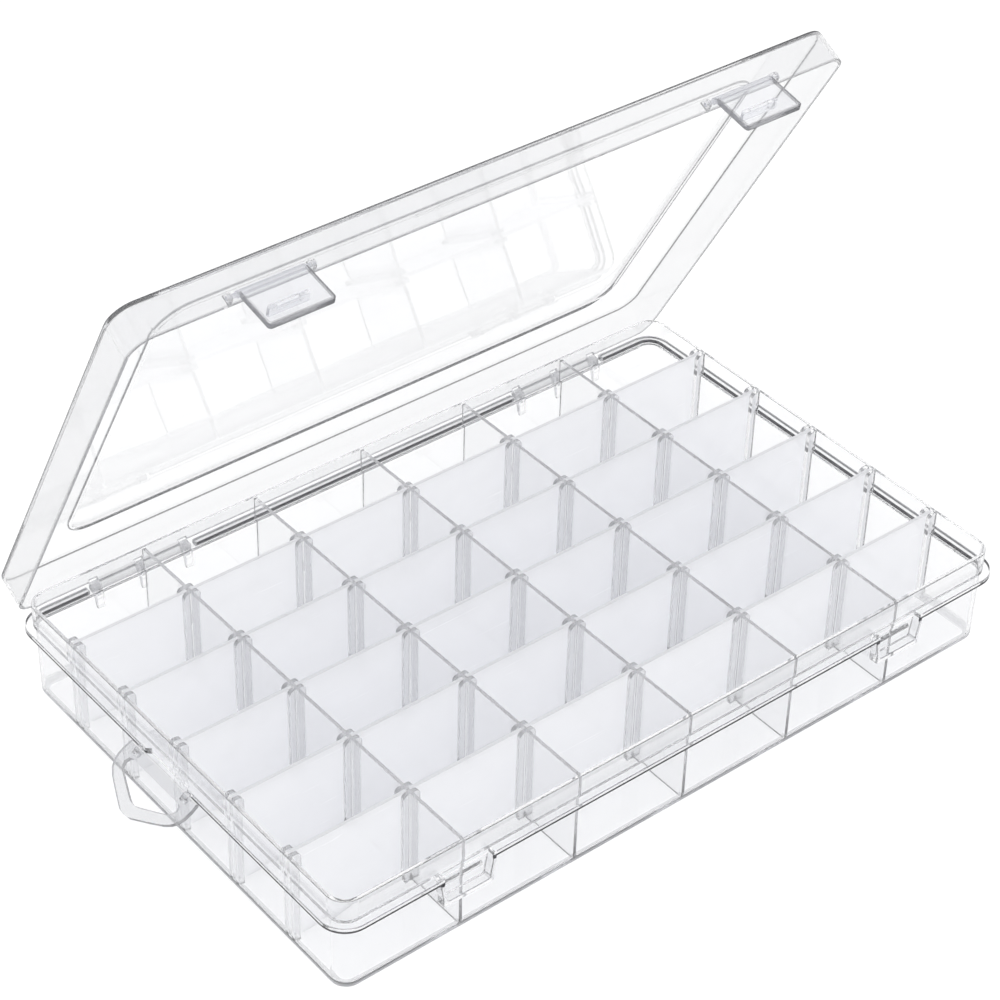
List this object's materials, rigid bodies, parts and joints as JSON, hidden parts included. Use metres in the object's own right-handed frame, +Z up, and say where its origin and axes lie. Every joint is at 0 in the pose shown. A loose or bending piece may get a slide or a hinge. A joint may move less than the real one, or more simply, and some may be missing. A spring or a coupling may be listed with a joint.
{
  "type": "plastic organizer box",
  "caption": "Shallow clear plastic compartment box with lift-out frosted dividers between fixed cross walls, a hinged lid, two front latches and a side loop for hanging.",
  "frame": {"origin": "centre of the tray's underside", "axes": "+X to the right along the length, +Y to the hinges at the back, +Z up; the lid stands open at 61 degrees"},
  "size_m": [0.2912, 0.1894, 0.1885],
  "materials": {
    "clear_plastic": "clear, glossy",
    "latch_plastic": "clear, faintly blue-grey",
    "frosted_plastic": "translucent, frosted"
  },
  "bodies": {
    "tray": {"base_tray": "clear_plastic"},
    "lid": {"lid": "clear_plastic"},
    "latch_left": {"latch_left": "latch_plastic"},
    "latch_right": {"latch_right": "latch_plastic"},
    "loop": {"hang_loop": "clear_plastic"},
    "divider_c1_r1": {"divider_c1_r1": "frosted_plastic"},
    "divider_c1_r2": {"divider_c1_r2": "frosted_plastic"},
    "divider_c1_r3": {"divider_c1_r3": "frosted_plastic"},
    "divider_c1_r4": {"divider_c1_r4": "frosted_plastic"},
    "divider_c1_r5": {"divider_c1_r5": "frosted_plastic"},
    "divider_c2_r1": {"divider_c2_r1": "frosted_plastic"},
    "divider_c2_r2": {"divider_c2_r2": "frosted_plastic"},
    "divider_c2_r3": {"divider_c2_r3": "frosted_plastic"},
    "divider_c2_r4": {"divider_c2_r4": "frosted_plastic"},
    "divider_c2_r5": {"divider_c2_r5": "frosted_plastic"},
    "divider_c3_r1": {"divider_c3_r1": "frosted_plastic"},
    "divider_c3_r2": {"divider_c3_r2": "frosted_plastic"},
    "divider_c3_r3": {"divider_c3_r3": "frosted_plastic"},
    "divider_c3_r4": {"divider_c3_r4": "frosted_plastic"},
    "divider_c3_r5": {"divider_c3_r5": "frosted_plastic"},
    "divider_c4_r1": {"divider_c4_r1": "frosted_plastic"},
    "divider_c4_r2": {"divider_c4_r2": "frosted_plastic"},
    "divider_c4_r3": {"divider_c4_r3": "frosted_plastic"},
    "divider_c4_r4": {"divider_c4_r4": "frosted_plastic"},
    "divider_c4_r5": {"divider_c4_r5": "frosted_plastic"},
    "divider_c5_r1": {"divider_c5_r1": "frosted_plastic"},
    "divider_c5_r2": {"divider_c5_r2": "frosted_plastic"},
    "divider_c5_r3": {"divider_c5_r3": "frosted_plastic"},
    "divider_c5_r4": {"divider_c5_r4": "frosted_plastic"},
    "divider_c5_r5": {"divider_c5_r5": "frosted_plastic"},
    "divider_c6_r1": {"divider_c6_r1": "frosted_plastic"},
    "divider_c6_r2": {"divider_c6_r2": "frosted_plastic"},
    "divider_c6_r3": {"divider_c6_r3": "frosted_plastic"},
    "divider_c6_r4": {"divider_c6_r4": "frosted_plastic"},
    "divider_c6_r5": {"divider_c6_r5": "frosted_plastic"}
  },
  "joints": [
    {"name": "lid_hinge", "type": "hinge", "parent": "tray", "child": "lid", "pos_m": [0, 0.0886, 0.0276], "axis": [-1, 0, 0], "range_deg": [-61, 119]},
    {"name": "latch_left_hinge", "type": "hinge", "parent": "lid", "child": "latch_left", "pos_m": [-0.0896, 0.00516, 0.18504], "axis": [-1, 0, 0], "range_deg": [-16, 94]},
    {"name": "latch_right_hinge", "type": "hinge", "parent": "lid", "child": "latch_right", "pos_m": [0.0896, 0.00516, 0.18504], "axis": [-1, 0, 0], "range_deg": [-16, 94]},
    {"name": "hang_loop_hinge", "type": "hinge", "parent": "tray", "child": "loop", "pos_m": [-0.1385, 0, 0.0273], "axis": [0, 1, 0], "range_deg": [-60, 120]},
    {"name": "divider_c1_r1_lift", "type": "slide", "parent": "tray", "child": "divider_c1_r1", "axis": [0, 0, 1], "range_m": [0, 0.036]},
    {"name": "divider_c1_r2_lift", "type": "slide", "parent": "tray", "child": "divider_c1_r2", "axis": [0, 0, 1], "range_m": [0, 0.036]},
    {"name": "divider_c1_r3_lift", "type": "slide", "parent": "tray", "child": "divider_c1_r3", "axis": [0, 0, 1], "range_m": [0, 0.036]},
    {"name": "divider_c1_r4_lift", "type": "slide", "parent": "tray", "child": "divider_c1_r4", "axis": [0, 0, 1], "range_m": [0, 0.036]},
    {"name": "divider_c1_r5_lift", "type": "slide", "parent": "tray", "child": "divider_c1_r5", "axis": [0, 0, 1], "range_m": [0, 0.036]},
    {"name": "divider_c2_r1_lift", "type": "slide", "parent": "tray", "child": "divider_c2_r1", "axis": [0, 0, 1], "range_m": [0, 0.036]},
    {"name": "divider_c2_r2_lift", "type": "slide", "parent": "tray", "child": "divider_c2_r2", "axis": [0, 0, 1], "range_m": [0, 0.036]},
    {"name": "divider_c2_r3_lift", "type": "slide", "parent": "tray", "child": "divider_c2_r3", "axis": [0, 0, 1], "range_m": [0, 0.036]},
    {"name": "divider_c2_r4_lift", "type": "slide", "parent": "tray", "child": "divider_c2_r4", "axis": [0, 0, 1], "range_m": [0, 0.036]},
    {"name": "divider_c2_r5_lift", "type": "slide", "parent": "tray", "child": "divider_c2_r5", "axis": [0, 0, 1], "range_m": [0, 0.036]},
    {"name": "divider_c3_r1_lift", "type": "slide", "parent": "tray", "child": "divider_c3_r1", "axis": [0, 0, 1], "range_m": [0, 0.036]},
    {"name": "divider_c3_r2_lift", "type": "slide", "parent": "tray", "child": "divider_c3_r2", "axis": [0, 0, 1], "range_m": [0, 0.036]},
    {"name": "divider_c3_r3_lift", "type": "slide", "parent": "tray", "child": "divider_c3_r3", "axis": [0, 0, 1], "range_m": [0, 0.036]},
    {"name": "divider_c3_r4_lift", "type": "slide", "parent": "tray", "child": "divider_c3_r4", "axis": [0, 0, 1], "range_m": [0, 0.036]},
    {"name": "divider_c3_r5_lift", "type": "slide", "parent": "tray", "child": "divider_c3_r5", "axis": [0, 0, 1], "range_m": [0, 0.036]},
    {"name": "divider_c4_r1_lift", "type": "slide", "parent": "tray", "child": "divider_c4_r1", "axis": [0, 0, 1], "range_m": [0, 0.036]},
    {"name": "divider_c4_r2_lift", "type": "slide", "parent": "tray", "child": "divider_c4_r2", "axis": [0, 0, 1], "range_m": [0, 0.036]},
    {"name": "divider_c4_r3_lift", "type": "slide", "parent": "tray", "child": "divider_c4_r3", "axis": [0, 0, 1], "range_m": [0, 0.036]},
    {"name": "divider_c4_r4_lift", "type": "slide", "parent": "tray", "child": "divider_c4_r4", "axis": [0, 0, 1], "range_m": [0, 0.036]},
    {"name": "divider_c4_r5_lift", "type": "slide", "parent": "tray", "child": "divider_c4_r5", "axis": [0, 0, 1], "range_m": [0, 0.036]},
    {"name": "divider_c5_r1_lift", "type": "slide", "parent": "tray", "child": "divider_c5_r1", "axis": [0, 0, 1], "range_m": [0, 0.036]},
    {"name": "divider_c5_r2_lift", "type": "slide", "parent": "tray", "child": "divider_c5_r2", "axis": [0, 0, 1], "range_m": [0, 0.036]},
    {"name": "divider_c5_r3_lift", "type": "slide", "parent": "tray", "child": "divider_c5_r3", "axis": [0, 0, 1], "range_m": [0, 0.036]},
    {"name": "divider_c5_r4_lift", "type": "slide", "parent": "tray", "child": "divider_c5_r4", "axis": [0, 0, 1], "range_m": [0, 0.036]},
    {"name": "divider_c5_r5_lift", "type": "slide", "parent": "tray", "child": "divider_c5_r5", "axis": [0, 0, 1], "range_m": [0, 0.036]},
    {"name": "divider_c6_r1_lift", "type": "slide", "parent": "tray", "child": "divider_c6_r1", "axis": [0, 0, 1], "range_m": [0, 0.036]},
    {"name": "divider_c6_r2_lift", "type": "slide", "parent": "tray", "child": "divider_c6_r2", "axis": [0, 0, 1], "range_m": [0, 0.036]},
    {"name": "divider_c6_r3_lift", "type": "slide", "parent": "tray", "child": "divider_c6_r3", "axis": [0, 0, 1], "range_m": [0, 0.036]},
    {"name": "divider_c6_r4_lift", "type": "slide", "parent": "tray", "child": "divider_c6_r4", "axis": [0, 0, 1], "range_m": [0, 0.036]},
    {"name": "divider_c6_r5_lift", "type": "slide", "parent": "tray", "child": "divider_c6_r5", "axis": [0, 0, 1], "range_m": [0, 0.036]}
  ]
}
